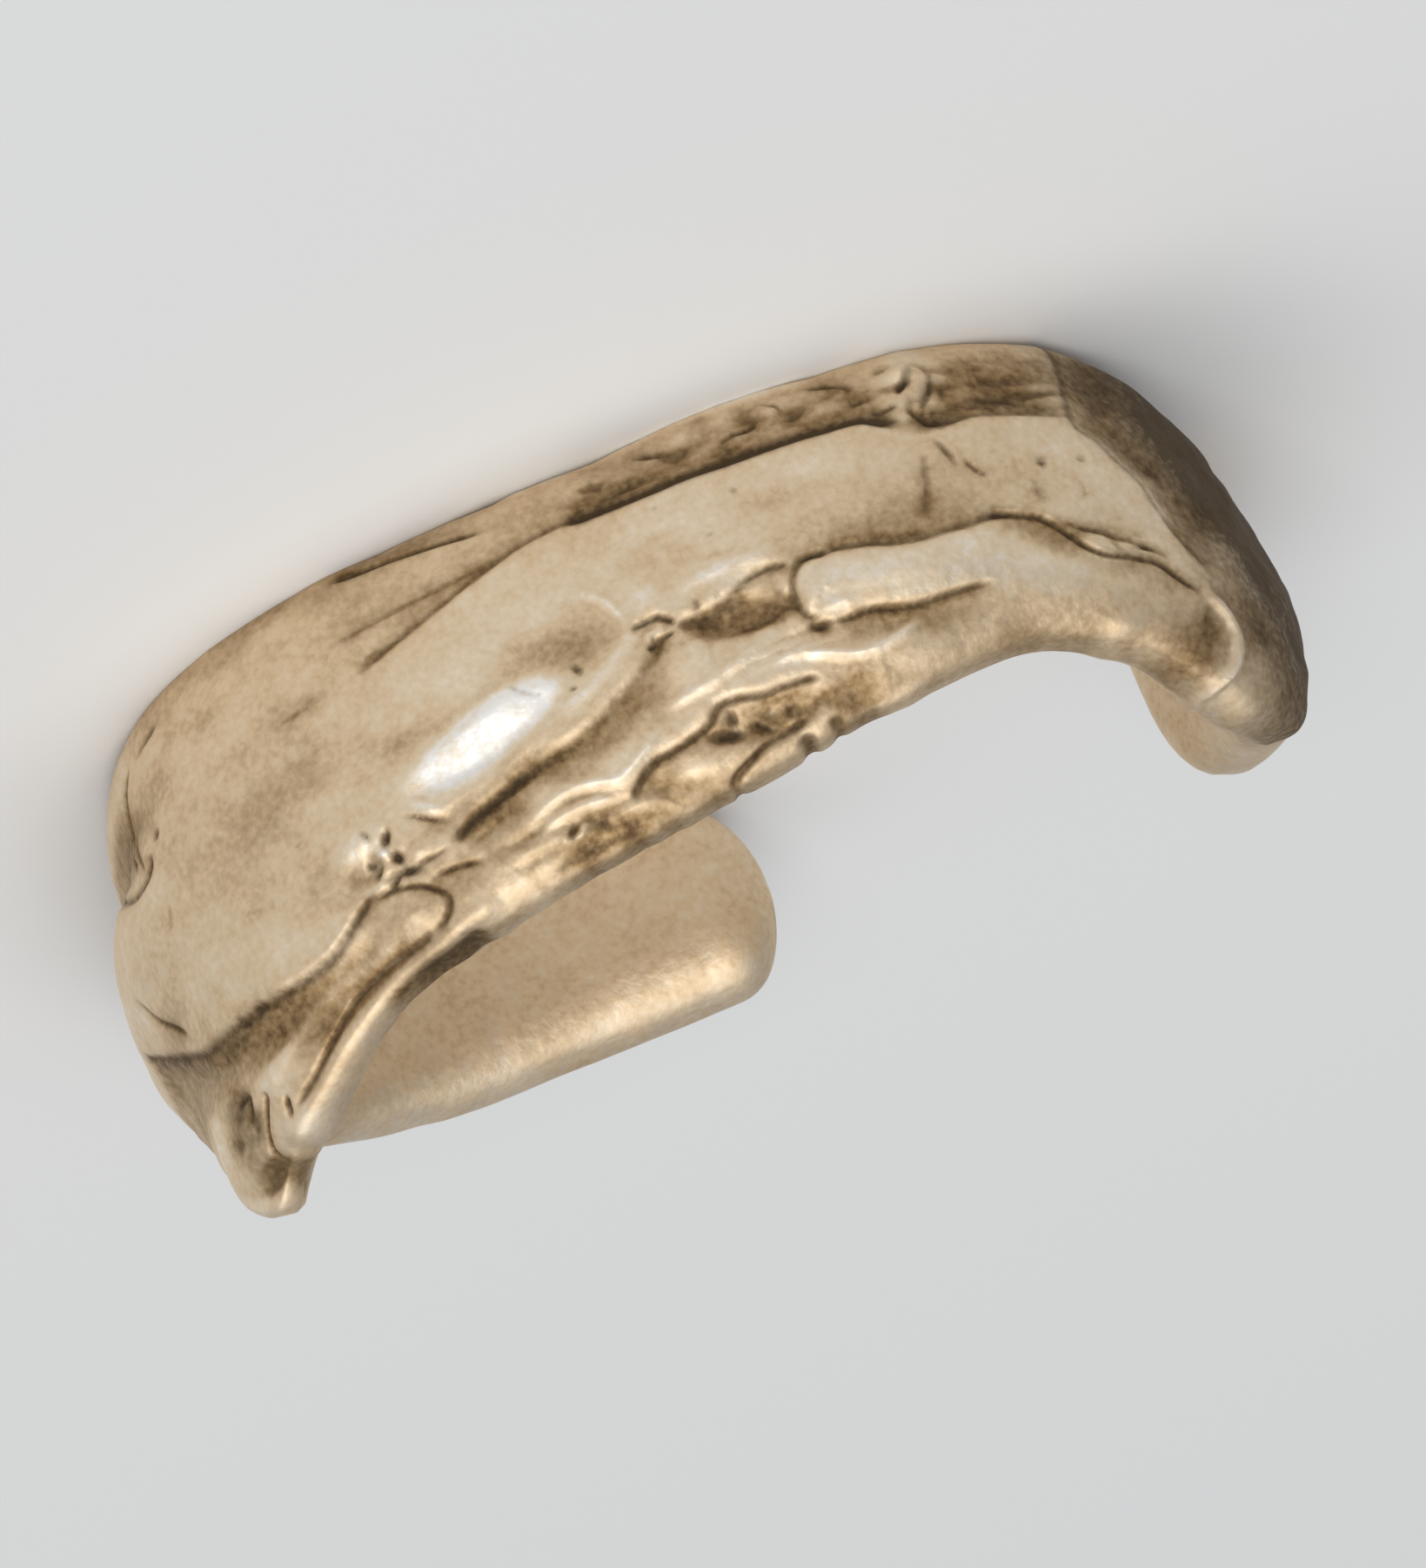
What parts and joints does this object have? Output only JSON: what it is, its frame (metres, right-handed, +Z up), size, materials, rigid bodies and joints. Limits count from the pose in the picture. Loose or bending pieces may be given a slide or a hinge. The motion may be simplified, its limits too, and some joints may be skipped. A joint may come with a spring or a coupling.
{
  "type": "ear cuff",
  "caption": "Wide open ear cuff, one cast metal band with folded and crumpled relief on the worn face, for the rim of the ear.",
  "frame": {"origin": "under the middle of the cuff's box, on the surface that it lies on", "axes": "+Z up through the hollow; -Y out of the broad worn face; +X to the wide bend, -X to the narrow bend; the gap is at the back, towards +Y and -X"},
  "size_m": [0.0164, 0.0124, 0.0069],
  "materials": {
    "satin_gold": "soft satin polish on the raised folds, brown patina left in the creases"
  },
  "bodies": {
    "root": {"cuff_band": "satin_gold"}
  },
  "joints": []
}
